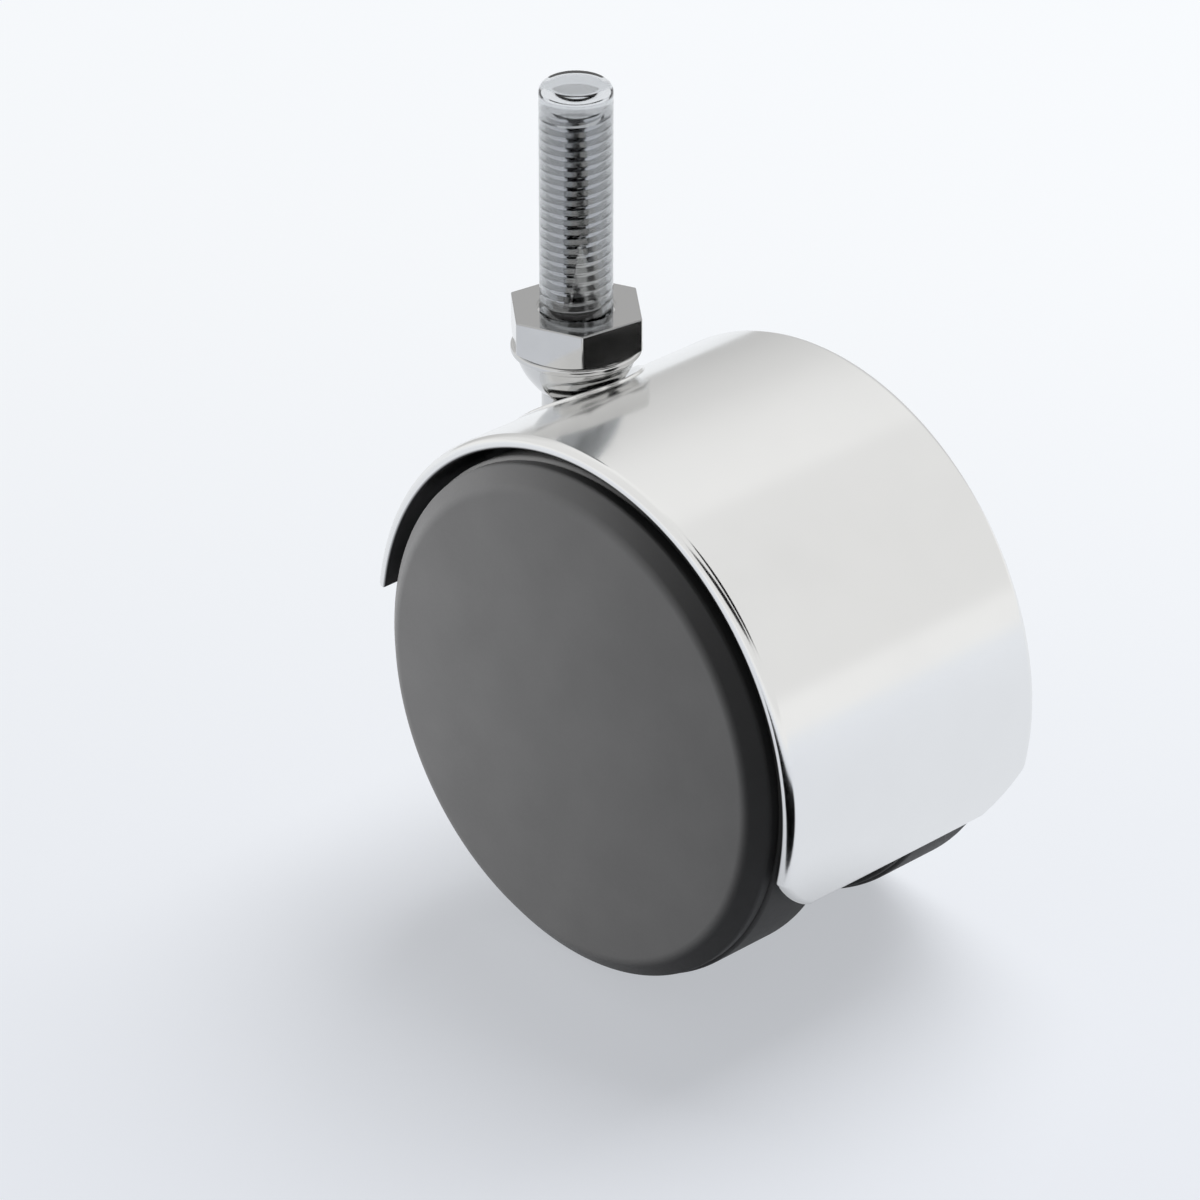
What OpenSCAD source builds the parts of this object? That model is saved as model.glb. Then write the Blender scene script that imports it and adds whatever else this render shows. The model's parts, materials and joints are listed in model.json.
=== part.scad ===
// Hooded twin wheel castor with a threaded stem.
// Millimetres. The origin is on the swivel axis at the hexagon's top face.
// +Z runs up the stem, the axle lies along Y and the wheels trail towards +X.
// The left wheel is the one on -Y.

/* [Wheels] */
// Diameter over the treads
wheel_d = 65; // [55:0.5:75]
// Width of one wheel from its inner edge to the edge of its face
wheel_w = 14.5; // [13.5:0.1:18]
// Distance between the inner edges of the two wheels
wheel_gap = 15.8; // [15.4:0.1:18]
// Height of the face's dome
face_crown = 0.6; // [0.3:0.1:1.2]
// Wall thickness of the closed face
face_t = 2.4; // [1.6:0.1:3]
// Radial size of the sloping shoulder
shoulder_r = 3.2; // [2.4:0.1:3.6]
// Slope of the shoulder from the face
shoulder_a = 40; // [34:1:44]
// Rim wall under the tread
rim_t = 2.2; // [1.6:0.1:3]
// Outer radius of the moulded hub
hub_r = 7; // [6:0.1:8]
// Number of ribs inside each wheel
rib_n = 12; // [8:1:16]
// Thickness of a rib
rib_t = 1.4; // [1:0.1:2]

/* [Treads] */
// Width of the rolling band
tread_w = 10; // [8:0.1:10.4]
// Radial thickness of the rolling band
tread_t = 2.2; // [1.6:0.1:3]
// Height of the band above the wheel's flanges
tread_proud = 0.4; // [0.2:0.1:0.8]

/* [Hood] */
// Distance from the rims to the edges of the wheels' faces
hood_inset = 1.9; // [0.5:0.1:3.5]
// Wall thickness of the shell
hood_wall = 1.6; // [1.2:0.1:2.4]
// Gap between the treads and the shell
hood_clear = 1.4; // [1:0.1:2.5]
// Rounding of the shell's outer rims
rim_round = 1.2; // [0.6:0.1:1.2]
// Distance from the swivel axis to the axle
trail = 21.5; // [20:0.1:24]
// Depth of the shell's highest line below the seat face
hood_drop = 4.5; // [4:0.1:8]
// Angle the shell reaches below the axle at the trailing end
hood_rear = 22.5; // [15:0.5:35]
// Angle the shell reaches at the leading end
hood_front = 172; // [160:0.5:185]
// Size of the bowed cut across the shell's trailing corners
corner_cut = 6; // [3:0.1:8]
// Thickness of the web in the middle
web_t = 4; // [3:0.1:6]
// Height of the raised lip around the stem's mouth
lip_h = 0.3; // [0.2:0.1:0.6]
// Width of that lip
lip_w = 0.6; // [0.5:0.1:1.2]
// Radius of the dished mouth inside the lip
dish_r = 7.6; // [7.4:0.1:8]
// Depth of the dish below the shell's surface
dish_d = 0.8; // [0.6:0.1:0.9]

/* [Stem] */
// Thread diameter
thread_d = 8; // [6:0.5:10]
// Thread pitch
thread_pitch = 1.25; // [0.8:0.05:1.5]
// Thread length above the seat face
thread_len = 26; // [15:0.5:50]
// Hexagon across the flats
hex_af = 15; // [13:0.5:19]
// Height of the hexagon
hex_h = 4.8; // [4:0.1:5.4]
// Turn of the hexagon on the swivel axis
hex_turn = 21; // [0:1:59]
// Radius of the flange under the hexagon
flange_r = 7.9; // [7.7:0.1:8.2]
// Thickness of that flange
flange_t = 0.9; // [0.6:0.1:1]
// Radius of the neck
neck_r = 4.2; // [3.8:0.1:4.3]
// Diameter of the shank inside the hood
shank_d = 8; // [7:0.1:8]
// Radius of the collar that carries the load
collar_r = 6; // [5.6:0.1:6.1]

/* [Swivel bearing] */
// Radius of the stem's mouth in the hood
mouth_r = 6.5; // [6.4:0.1:6.6]
// Wall of the bushes around the shank
swivel_bush_wall = 1.15; // [1:0.05:1.3]
// Outer radius of the hood's stem boss
boss_r = 6.8; // [6.4:0.1:6.9]
// Length of the upper bush
upper_bush_len = 4.5; // [4:0.1:6]
// Length of the lower bush without its flange
lower_bush_len = 5; // [4:0.1:6]
// Thickness of the land between the bushes
land_t = 1.6; // [1.2:0.1:3]
// Thickness of washers and of the circlip
washer_t = 0.8; // [0.6:0.1:1]

/* [Axle] */
// Axle diameter
axle_d = 6; // [5:0.1:6.5]
// Wall of the bushes in the hubs
hub_bush_wall = 1.45; // [1:0.05:1.6]
// Length of the bushes in the hubs
hub_bush_len = 9.2; // [8.5:0.1:10]
// Outer radius of the hood's axle boss
axle_boss_r = 7; // [6:0.1:9]
// Wire thickness of the snap rings
ring_t = 0.8; // [0.6:0.1:0.9]

/* [Thread protector] */
// Wall of the clear cap
cap_wall = 0.35; // [0.3:0.05:0.8]
// Height of the cap above the thread's end
cap_over = 2.9; // [2:0.1:5]
// Rounding of the cap's top edge
cap_round = 1.2; // [0.6:0.1:1.6]

/* [Fits] */
// Radial clearance of running fits
run_gap = 0.05; // [0.02:0.01:0.08]
// Clearance of fits that don't move
set_gap = 0.02; // [0.01:0.01:0.03]

/* [Hidden] */
$fn = 96;

// wheels, measured outwards along the axle from the middle
wheel_r = wheel_d / 2;
flange_rad = wheel_r - tread_proud;
groove_rad = wheel_r - tread_t;
rim_in = groove_rad - rim_t;
inner_y = wheel_gap / 2;
face_y = inner_y + wheel_w;
shoulder_soft = 1.4;
shoulder_edge = 0.7;
// the slope touches the rounding at the face and the one at the flange
shoulder_w = (
    (shoulder_r - shoulder_edge) * sin(shoulder_a) + shoulder_edge - shoulder_soft * (1 - cos(shoulder_a))
) / cos(shoulder_a);
tread_land = 0.8;
tread_y = face_y - shoulder_w - tread_land - tread_w;
edge_round = 0.5;
rib_set_back = 2.4;
rib_y = inner_y + rib_set_back;

// hood
hood_in = wheel_r + hood_clear;
hood_r = hood_in + hood_wall;
axle_drop = hood_r + hood_drop;
rim_y = face_y - hood_inset;
hood_w = 2 * rim_y;
web_back = 3;
hood_axis_z = -axle_drop + sqrt(hood_r * hood_r - trail * trail);

// stem levels, from the hood's surface on the swivel axis downwards
thread_r = thread_d / 2;
thread_root = thread_r - 0.61 * thread_pitch;
shank_r = shank_d / 2;
seat_r = shank_r + run_gap + swivel_bush_wall;
recess_d = 0.5;
recess_ease = 0.35;
recess_r = thread_r + run_gap + cap_wall + recess_ease;
flange_z = -hex_h - flange_t;
hex_r = hex_af / sqrt(3);
hex_chamfer = (hex_r - hex_af / 2) * tan(30);
bowl_step = 0.6;
bowl_slope = 1.68;
bowl_bulge = 0.55;
bowl_r = flange_r - bowl_step;
bowl_h = (bowl_r - neck_r) * bowl_slope;
mouth_depth = 8.2;
mouth_z = hood_axis_z - mouth_depth;
thrust_z = mouth_z + set_gap + washer_t + run_gap;
collar_t = 1.6;
collar_z = thrust_z + collar_t;
land_z = mouth_z - upper_bush_len - 2 * set_gap;
lower_z = land_z - land_t;
boss_z = lower_z - set_gap - lower_bush_len;
bush_flange_t = 1;
bush_flange_inset = 0.6;
bush_flange_r = boss_r - bush_flange_inset;
washer_z = boss_z - set_gap - bush_flange_t - run_gap;
clip_z = washer_z - washer_t - set_gap;
clip_groove_d = 0.6;
clip_reach = 1.4;
shank_tail = 1.3;
clip_groove_r = shank_r - clip_groove_d;
clip_r = shank_r + clip_reach;
shank_z = clip_z - washer_t - shank_tail;

// axle stack, outwards from the middle
axle_r = axle_d / 2;
boss_set_back = 1;
axle_boss_y = inner_y - boss_set_back;
spacer_y = axle_boss_y + set_gap;
spacer_inset = 1;
spacer_r = axle_boss_r - spacer_inset;
hub_bush_r = axle_r + run_gap + hub_bush_wall;
hub_bush_end = inner_y + hub_bush_len;
ring_play = 0.2;
ring_groove_d = 0.9;
ring_proud = 0.45;
ring_y = hub_bush_end + ring_play;
ring_groove_r = axle_r - ring_groove_d;
ring_r = axle_r + ring_proud;
axle_tail = 1.2;
axle_end = ring_y + ring_t + axle_tail;
chamber_ease = 0.9;
chamber_r = axle_r + chamber_ease;
chamber_end = axle_end + 0.6;

// points on an arc about c, ellipse radii r, from angle a0 to a1
function arc(c, r, a0, a1, n = 8) = [
    for (i = [0:n])
        let (a = a0 + (a1 - a0) * i / n)
            [c[0] + r[0] * cos(a), c[1] + r[1] * sin(a)]
];

// points of a ring's cross-section
function ring_section(r0, r1, z0, z1) = [[r0, z0], [r1, z0], [r1, z1], [r0, z1]];

module turned(points, from = 0, sweep = 360) {
    rotate_extrude(angle = sweep, start = from)
        polygon(points);
}

// places a shape turned about z on the axle, outwards along side -1 (left) or 1 (right)
module on_axle(side = 1) {
    translate([trail, 0, -axle_drop])
        mirror([0, side < 0 ? 1 : 0, 0])
            rotate([-90, 0, 0])
                children();
}

// places a shape turned about z on the axle, with its angles from +X towards +Z
module about_axle() {
    translate([trail, 0, -axle_drop])
        rotate([90, 0, 0])
            children();
}

module hood_shell() {
    wrap = hood_front + hood_rear;
    inner_round = 0.3;
    section = concat(
        arc([hood_r - rim_round, rim_y - rim_round], [rim_round, rim_round], 0, 90),
        arc([hood_in + inner_round, rim_y - inner_round], [inner_round, inner_round], 90, 180, 3),
        arc([hood_in + inner_round, inner_round - rim_y], [inner_round, inner_round], 180, 270, 3),
        arc([hood_r - rim_round, rim_round - rim_y], [rim_round, rim_round], 270, 360)
    );
    about_axle()
        turned(section, -hood_rear, wrap);
}

// what the rounding takes off a trailing corner of the shell
module corner_waste(side) {
    margin = 2;
    reach = hood_wall + 2 * margin;
    bow = 0.5;
    bow_n = 8;
    // the cut runs a little past both edges
    past = 0.05;
    line = [
        for (i = [0:bow_n])
            let (q = (1 + 2 * past) * i / bow_n - past, dip = 4 * bow * q * (1 - q))
                [corner_cut * (1 - q) - dip, corner_cut * q - dip]
    ];
    shape = concat([[-margin, -margin], [line[0][0], -margin]], line, [[-margin, line[bow_n][1]]]);
    mirror([0, side > 0 ? 1 : 0, 0])
        translate([trail, 0, -axle_drop])
            rotate([0, hood_rear, 0])
                translate([hood_in - margin, -rim_y, 0])
                    rotate([90, 0, 90])
                        linear_extrude(reach)
                            polygon(shape);
}

module hood_web() {
    section = ring_section(0, hood_in + hood_wall / 2, -web_t / 2, web_t / 2);
    about_axle()
        turned(section, web_back - hood_rear, hood_front + hood_rear - 2 * web_back);
    about_axle()
        cylinder(r = axle_boss_r, h = 2 * axle_boss_y, center = true);
}

module stem_boss() {
    top = -hood_drop;
    inside = 0.3;
    cup_z = mouth_z - 2;
    cup_r = mouth_r + 0.9;
    section = [
        [0, boss_z], [boss_r, boss_z], [boss_r, cup_z], [cup_r, cup_z + 1], [cup_r, top], [0, top]
    ];
    intersection() {
        turned(section);
        about_axle()
            cylinder(r = hood_r - inside, h = hood_w, center = true);
    }
    // the lip stands on the shell and stays clear of the wheels below it
    difference() {
        intersection() {
            translate([0, 0, boss_z])
                cylinder(r = dish_r + lip_w, h = top - boss_z);
            about_axle()
                cylinder(r = hood_r + lip_h, h = hood_w, center = true);
        }
        about_axle()
            cylinder(r = hood_in + inside, h = hood_w, center = true);
    }
}

// what is taken out of the shell for the dished mouth
module mouth_waste() {
    difference() {
        translate([0, 0, mouth_z])
            cylinder(r = dish_r, h = -mouth_z);
        about_axle()
            cylinder(r = hood_r - dish_d, h = hood_w, center = true);
    }
    translate([0, 0, mouth_z])
        cylinder(r = mouth_r, h = -mouth_z);
}

module hood() {
    below = 40;
    color("gainsboro")
        difference() {
            union() {
                hood_shell();
                hood_web();
                stem_boss();
            }
            for (side = [-1, 1])
                corner_waste(side);
            mouth_waste();
            translate([0, 0, land_z])
                cylinder(r = seat_r, h = mouth_z - land_z + 1);
            translate([0, 0, lower_z - 1])
                cylinder(r = shank_r + 0.5, h = land_t + 2);
            translate([0, 0, boss_z - 1])
                cylinder(r = seat_r, h = lower_z - boss_z + 1);
            translate([0, 0, boss_z - below])
                cylinder(r = boss_r + 0.4, h = below);
            about_axle()
                cylinder(r = axle_r + set_gap, h = hood_w, center = true);
        }
}

module threaded_stem() {
    lead = 0.6;
    bowl = [
        for (i = [8:-1:0])
            let (q = i / 8)
                [bowl_r - (bowl_r - neck_r) * q + 4 * bowl_bulge * q * (1 - q), flange_z - bowl_h * q]
    ];
    lower = [
        [0, shank_z], [shank_r - lead, shank_z], [shank_r, shank_z + lead],
        [shank_r, clip_z - washer_t - set_gap], [clip_groove_r, clip_z - washer_t - set_gap],
        [clip_groove_r, clip_z + set_gap], [shank_r, clip_z + set_gap],
        [shank_r, thrust_z], [collar_r, thrust_z],
        [collar_r, collar_z], [neck_r, collar_z + 0.4]
    ];
    // the thread as rings one pitch apart, without a lead
    turns = floor((thread_len - lead) / thread_pitch);
    thread = [
        for (i = [0:turns - 1], step = [[1, 0], [0, 0.33], [0, 0.55], [1, 0.88]])
            [step[0] > 0 ? thread_r : thread_root, (i + step[1]) * thread_pitch]
    ];
    upper = concat(
        [[flange_r, flange_z], [flange_r, -hex_h], [thread_r, -hex_h]],
        thread,
        [[thread_r, thread_len - lead], [thread_r - lead, thread_len], [0, thread_len]]
    );
    chamfered = [
        [0, -hex_h], [hex_af / 2 - 0.05, -hex_h], [hex_r + 0.2, hex_chamfer - hex_h + 0.15],
        [hex_r + 0.2, 1], [0, 1]
    ];
    color("silver") {
        turned(concat(lower, bowl, upper));
        difference() {
            intersection() {
                translate([0, 0, -hex_h])
                    rotate([0, 0, hex_turn])
                        cylinder(r = hex_r, h = hex_h, $fn = 6);
                turned(chamfered);
            }
            translate([0, 0, -recess_d])
                cylinder(r = recess_r, h = recess_d + 1);
        }
    }
}

module thread_protector() {
    bore_r = thread_r + run_gap;
    out_r = bore_r + cap_wall;
    foot = set_gap - recess_d;
    top = thread_len + cap_over;
    bore_top = top - 1.3;
    section = concat(
        [[bore_r, foot], [out_r, foot]],
        arc([out_r - cap_round, top - cap_round], [cap_round, cap_round], 0, 90),
        [[0, top], [0, bore_top]],
        arc([bore_r - 0.8, bore_top - 0.8], [0.8, 0.8], 90, 0, 5)
    );
    color([0.85, 0.87, 0.9, 0.4])
        turned(section);
}

module stem_thrust_washer() {
    color("ivory")
        turned(ring_section(shank_r + run_gap, mouth_r - 0.1, mouth_z + set_gap, thrust_z - run_gap));
}

module upper_swivel_bush() {
    color("tan")
        turned(ring_section(shank_r + run_gap, seat_r - set_gap, land_z + set_gap, mouth_z - set_gap));
}

module lower_swivel_bush() {
    bore_r = shank_r + run_gap;
    section = [
        [bore_r, washer_z + run_gap], [bush_flange_r, washer_z + run_gap],
        [bush_flange_r, boss_z - set_gap], [seat_r - set_gap, boss_z - set_gap],
        [seat_r - set_gap, lower_z - set_gap], [bore_r, lower_z - set_gap]
    ];
    color("tan")
        turned(section);
}

module stem_washer() {
    color("silver")
        turned(ring_section(shank_r + set_gap, bush_flange_r, washer_z - washer_t, washer_z));
}

module stem_circlip() {
    opening = 50;
    section = ring_section(clip_groove_r + set_gap, clip_r, clip_z - washer_t, clip_z);
    color("dimgray")
        turned(section, 180 + opening / 2, 360 - opening);
}

module axle() {
    lead = 0.6;
    half = [
        [axle_r, ring_y - set_gap], [ring_groove_r, ring_y - set_gap],
        [ring_groove_r, ring_y + ring_t + set_gap], [axle_r, ring_y + ring_t + set_gap],
        [axle_r, axle_end - lead], [axle_r - lead, axle_end]
    ];
    mirrored = [for (i = [len(half) - 1:-1:0]) [half[i][0], -half[i][1]]];
    section = concat([[0, -axle_end]], mirrored, half, [[0, axle_end]]);
    color("silver")
        about_axle()
            turned(section);
}

// the moulded wheel: closed domed face, shoulder, grooved rim, ribs and blind hub
module wheel(side) {
    face_rad = flange_rad - shoulder_r;
    crown_n = 12;
    dome = [
        for (i = [0:crown_n])
            let (q = i / crown_n)
                [face_rad * q, face_y + face_crown * (1 - q * q)]
    ];
    wall_y = face_y - face_t;
    corner = 1.5;
    section = concat(
        dome,
        arc([face_rad, face_y - shoulder_soft], shoulder_soft * [1, 1], 84, 90 - shoulder_a, 6),
        arc([flange_rad - shoulder_edge, face_y - shoulder_w], shoulder_edge * [1, 1], 90 - shoulder_a, 0, 6),
        [
            [flange_rad, tread_y + tread_w], [groove_rad, tread_y + tread_w],
            [groove_rad, tread_y], [flange_rad, tread_y]
        ],
        arc([flange_rad - edge_round, inner_y + edge_round], [edge_round, edge_round], 0, -90, 4),
        [[rim_in, inner_y]],
        arc([rim_in - corner, wall_y - corner], [corner, corner], 0, 90, 4),
        [
            [hub_r, wall_y], [hub_r, inner_y],
            [hub_bush_r + set_gap, inner_y], [hub_bush_r + set_gap, hub_bush_end + set_gap],
            [chamber_r, hub_bush_end + set_gap], [chamber_r, chamber_end], [0, chamber_end]
        ]
    );
    rib_reach = rim_in - hub_r + 1;
    color([0.34, 0.35, 0.35])
        on_axle(side) {
            turned(section);
            for (i = [0:rib_n - 1])
                rotate([0, 0, 360 * (i + 0.5) / rib_n])
                    translate([hub_r - 0.5, -rib_t / 2, rib_y])
                        cube([rib_reach, rib_t, wall_y + 0.6 - rib_y]);
        }
}

module tread(side) {
    low = groove_rad + set_gap;
    out = 0.9;
    y0 = tread_y + set_gap;
    y1 = tread_y + tread_w - set_gap;
    section = concat(
        [[low, y0]],
        arc([wheel_r - out, y0 + out], [out, out], -90, 0, 6),
        arc([wheel_r - out, y1 - out], [out, out], 0, 90, 6),
        [[low, y1]]
    );
    color([0.42, 0.43, 0.43])
        on_axle(side)
            turned(section);
}

module hub_bush(side) {
    color("tan")
        on_axle(side)
            turned(ring_section(axle_r + run_gap, hub_bush_r, inner_y, hub_bush_end));
}

module spacer_washer(side) {
    color("ivory")
        on_axle(side)
            turned(ring_section(axle_r + set_gap, spacer_r, spacer_y, spacer_y + washer_t));
}

module axle_snap_ring(side) {
    opening = 50;
    section = ring_section(ring_groove_r + 0.45, ring_r, ring_y, ring_y + ring_t);
    color("dimgray")
        on_axle(side)
            turned(section, opening / 2, 360 - opening);
}

hood();
threaded_stem();
thread_protector();
stem_thrust_washer();
upper_swivel_bush();
lower_swivel_bush();
stem_washer();
stem_circlip();
axle();
wheel(-1);  // left_wheel
wheel(1);  // right_wheel
tread(-1);  // left_tread
tread(1);  // right_tread
hub_bush(-1);  // left_hub_bush
hub_bush(1);  // right_hub_bush
spacer_washer(-1);  // left_spacer_washer
spacer_washer(1);  // right_spacer_washer
axle_snap_ring(-1);  // left_axle_snap_ring
axle_snap_ring(1);  // right_axle_snap_ring
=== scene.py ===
import json
import math

import bpy
from bpy.props import FloatProperty, FloatVectorProperty, IntProperty, PointerProperty
from mathutils import Matrix, Vector


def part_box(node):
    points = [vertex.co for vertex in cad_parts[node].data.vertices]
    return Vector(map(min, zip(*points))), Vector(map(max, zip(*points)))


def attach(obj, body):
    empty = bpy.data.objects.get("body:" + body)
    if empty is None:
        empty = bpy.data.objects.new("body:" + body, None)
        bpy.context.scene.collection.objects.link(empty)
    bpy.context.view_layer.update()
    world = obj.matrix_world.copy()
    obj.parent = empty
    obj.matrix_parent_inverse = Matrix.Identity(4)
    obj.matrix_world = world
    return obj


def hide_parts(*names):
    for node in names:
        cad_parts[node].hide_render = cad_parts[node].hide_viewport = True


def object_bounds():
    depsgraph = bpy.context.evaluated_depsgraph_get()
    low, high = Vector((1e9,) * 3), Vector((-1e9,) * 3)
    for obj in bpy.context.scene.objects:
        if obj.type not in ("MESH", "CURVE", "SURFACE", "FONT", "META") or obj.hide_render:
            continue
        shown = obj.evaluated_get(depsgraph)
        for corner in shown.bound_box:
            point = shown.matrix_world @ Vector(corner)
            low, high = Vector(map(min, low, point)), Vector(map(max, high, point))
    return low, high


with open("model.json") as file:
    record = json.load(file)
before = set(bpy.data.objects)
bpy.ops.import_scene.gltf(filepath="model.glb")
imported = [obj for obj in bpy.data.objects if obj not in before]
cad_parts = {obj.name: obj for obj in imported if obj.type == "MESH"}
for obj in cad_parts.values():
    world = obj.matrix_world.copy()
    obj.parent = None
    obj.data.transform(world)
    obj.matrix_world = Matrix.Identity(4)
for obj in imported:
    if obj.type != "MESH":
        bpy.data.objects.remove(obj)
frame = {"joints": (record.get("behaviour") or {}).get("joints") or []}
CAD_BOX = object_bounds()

bl_info = {
    "name": "Twin Wheel Castor",
    "version": (1, 0, 0),
    "blender": (4, 2, 0),
    "location": "View3D > Sidebar > Castor",
    "description": "Models the hood, the stem, the clear cap and the wheels of a castor",
    "category": "Object",
}

MM = 0.001
FULL_TURN = 2 * math.pi
AXLE = Vector(next(j["pos_m"] for j in frame["joints"] if j["name"] == "left_roll"))
FLOOR_Z = CAD_BOX[0][2]
SIDES = ("left", "right")

# clearances between pieces that run or sit in each other
RUN_GAP = 0.05 * MM
SET_GAP = 0.02 * MM

# the flange of the bush under the stem boss
LOWER_FLANGE = 1 * MM

# points nearer than this are one
MERGE = 0.001 * MM

# strength of the surroundings as light on plastics and on the floor
SOFT_LIGHT = 0.11


def length(label, about, size_mm):
    """A length that a user can change, with its default in millimetres."""
    return FloatProperty(name=label, description=about, default=size_mm * MM, min=0, unit="LENGTH",
                         precision=5)


def turn(label, about, degrees):
    """An angle that a user can change, with its default in degrees."""
    return FloatProperty(name=label, description=about, default=math.radians(degrees), subtype="ANGLE")


def tint(label, about, colour):
    """A colour that a user can change, in linear values."""
    return FloatVectorProperty(name=label, description=about, default=colour, size=3, min=0, max=1,
                               subtype="COLOR")


class CastorSizes(bpy.types.PropertyGroup):
    """Sizes of the castor's pieces"""

    wheel_flange: length("Wheel flange", "Radius of the wheel beside its tread", 32.1)
    wheel_inner: length("Wheel inner edge", "Distance of the wheel's inner edge from the middle", 7.9)
    wheel_width: length("Wheel width", "Width of one wheel up to the edge of its face", 14.5)
    face_crown: length("Face crown", "Height of the dome of the wheel's face", 0.6)
    face_wall: length("Face wall", "Thickness of the closed face", 2.4)
    shoulder_reach: length("Shoulder reach", "Radial size of the wheel's sloping shoulder", 3.2)
    shoulder_slope: turn("Shoulder slope", "Slope of that shoulder from the face", 40)
    shoulder_soft: length("Shoulder soft", "Rounding between the shoulder and the face", 2.2)
    shoulder_edge: length("Shoulder edge", "Rounding between the shoulder and the flange", 0.7)
    rim_wall: length("Rim wall", "Thickness of the rim under the tread", 2.2)
    hub_radius: length("Hub radius", "Outer radius of the moulded hub", 7)
    rib_count: IntProperty(name="Ribs", description="Ribs inside each wheel", default=12, min=3)
    rib_wall: length("Rib wall", "Thickness of a rib", 1.4)
    tread_depth: length("Tread depth", "Radial thickness of the rolling band", 2.2)
    tread_proud: length("Tread height", "Height of the rolling band above the flanges", 0.4)
    hood_radius: length("Hood radius", "Outer radius of the hood about the axle", 35.5)
    hood_wall: length("Hood wall", "Wall thickness of the hood", 1.6)
    hood_width: length("Hood width", "Width of the hood along the axle", 41)
    hood_rear: turn("Hood rear", "Angle that the hood reaches below the axle at the trailing end", 22.5)
    hood_front: turn("Hood front", "Angle that the hood reaches at the leading end", 172)
    hood_corner: length("Hood corner", "Size of the bowed cut across the trailing corners", 6)
    rim_round: length("Rim round", "Rounding of the hood's outer edges", 1.1)
    web_wall: length("Web wall", "Thickness of the web inside the hood", 4)
    boss_radius: length("Boss radius", "Outer radius of the stem boss inside the hood", 6.8)
    mouth_radius: length("Mouth radius", "Radius of the stem's mouth in the hood", 6.5)
    dish_radius: length("Dish radius", "Radius of the dished seat around the mouth", 7.6)
    dish_depth: length("Dish depth", "Depth of that dish below the hood's surface", 0.8)
    lip_round: length("Lip round", "Radius of the bead around the dish", 0.28)
    thread_radius: length("Thread radius", "Major radius of the stem's thread", 4)
    thread_pitch: length("Thread pitch", "Rise of the thread in one turn", 1.25)
    hex_flats: length("Hexagon", "Width of the hexagon across its flats", 15)
    hex_height: length("Hexagon height", "Height of the hexagon", 4.8)
    hex_turn: turn("Hexagon turn", "Turn of the hexagon on the swivel axis", 21)
    flange_radius: length("Flange radius", "Radius of the flange under the hexagon", 7.9)
    flange_wall: length("Flange wall", "Thickness of that flange", 0.9)
    neck_radius: length("Neck radius", "Radius of the stem's neck", 4.2)
    shank_radius: length("Shank radius", "Radius of the stem inside the hood", 4)
    collar_radius: length("Collar radius", "Radius of the collar that carries the load", 6)
    cap_wall: length("Cap wall", "Wall of the clear cap over the thread", 0.35)
    cap_round: length("Cap round", "Rounding of the cap's top edge", 1.2)
    axle_radius: length("Axle radius", "Radius of the axle", 3)


class CastorFinishes(bpy.types.PropertyGroup):
    """Colours of the castor's finishes and of the stage"""

    chrome: tint("Chrome", "Bright plate on the hood", (0.86, 0.86, 0.85))
    # the inside of the hood is darkened nearly to black: partly a duller plate, partly painted shade in the
    # hood's hollow
    shaded_inside_plate: tint("Hood inside", "Dull plate inside the hood", (0.05, 0.05, 0.052))
    # the hexagon's top takes this darker plate and the rest of the stem the brighter one below: partly a
    # faced top, partly painted shade that keeps the top darker than its lit sides
    steel: tint("Plated steel", "Plate on the axle and on the hexagon's top", (0.47, 0.47, 0.466))
    bright_steel: tint("Bright steel", "Plate on the rest of the stem", (0.66, 0.66, 0.655))
    spring: tint("Spring steel", "Oiled rings", (0.12, 0.12, 0.125))
    wheel: tint("Wheel", "Moulded wheel", (0.108, 0.108, 0.109))
    tread: tint("Tread", "Rolling band", (0.145, 0.145, 0.145))
    bush: tint("Bushes", "Black bearing plastic", (0.02, 0.02, 0.021))
    acetal: tint("Washers", "Natural white bearing plastic", (0.72, 0.71, 0.67))
    clear: tint("Clear cap", "Clear plastic over the thread", (0.80, 0.81, 0.82))
    floor: tint("Floor", "Pale floor", (0.88, 0.91, 0.97))
    background: tint("Background", "Pale surroundings", (0.93, 0.95, 0.975))


# Modelling helpers

def fresh():
    """Leaves edit mode and deselects everything."""
    if bpy.context.mode != "OBJECT":
        bpy.ops.object.mode_set(mode="OBJECT")
    bpy.ops.object.select_all(action="DESELECT")


def only(piece):
    """Leaves one object selected and active, in object mode."""
    fresh()
    piece.select_set(True)
    bpy.context.view_layer.objects.active = piece


def edit(piece, kind="VERT"):
    """Opens a piece in edit mode with all of it selected."""
    only(piece)
    bpy.ops.object.mode_set(mode="EDIT")
    bpy.ops.mesh.select_mode(type=kind)
    bpy.ops.mesh.select_all(action="SELECT")


def pick_vertices(piece, wanted):
    """Selects the vertices whose place fits, and leaves the piece in edit mode."""
    edit(piece)
    bpy.ops.mesh.select_all(action="DESELECT")
    bpy.ops.object.mode_set(mode="OBJECT")
    for vertex in piece.data.vertices:
        vertex.select = wanted(vertex.co)
    bpy.ops.object.mode_set(mode="EDIT")


def pick_edges(piece, wanted):
    """Selects the edges whose two ends fit, and leaves the piece in edit mode."""
    edit(piece, "EDGE")
    bpy.ops.mesh.select_all(action="DESELECT")
    bpy.ops.object.mode_set(mode="OBJECT")
    places = piece.data.vertices
    for edge in piece.data.edges:
        edge.select = all(wanted(places[i].co) for i in edge.vertices)
    bpy.ops.object.mode_set(mode="EDIT")


def added(name):
    """Names the primitive that was just added."""
    piece = bpy.context.object
    piece.name = name
    piece.data.name = name
    return piece


def settle():
    """Writes the active object's place, turn and size into its mesh."""
    bpy.ops.object.transform_apply(location=True, rotation=True, scale=True)


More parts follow.
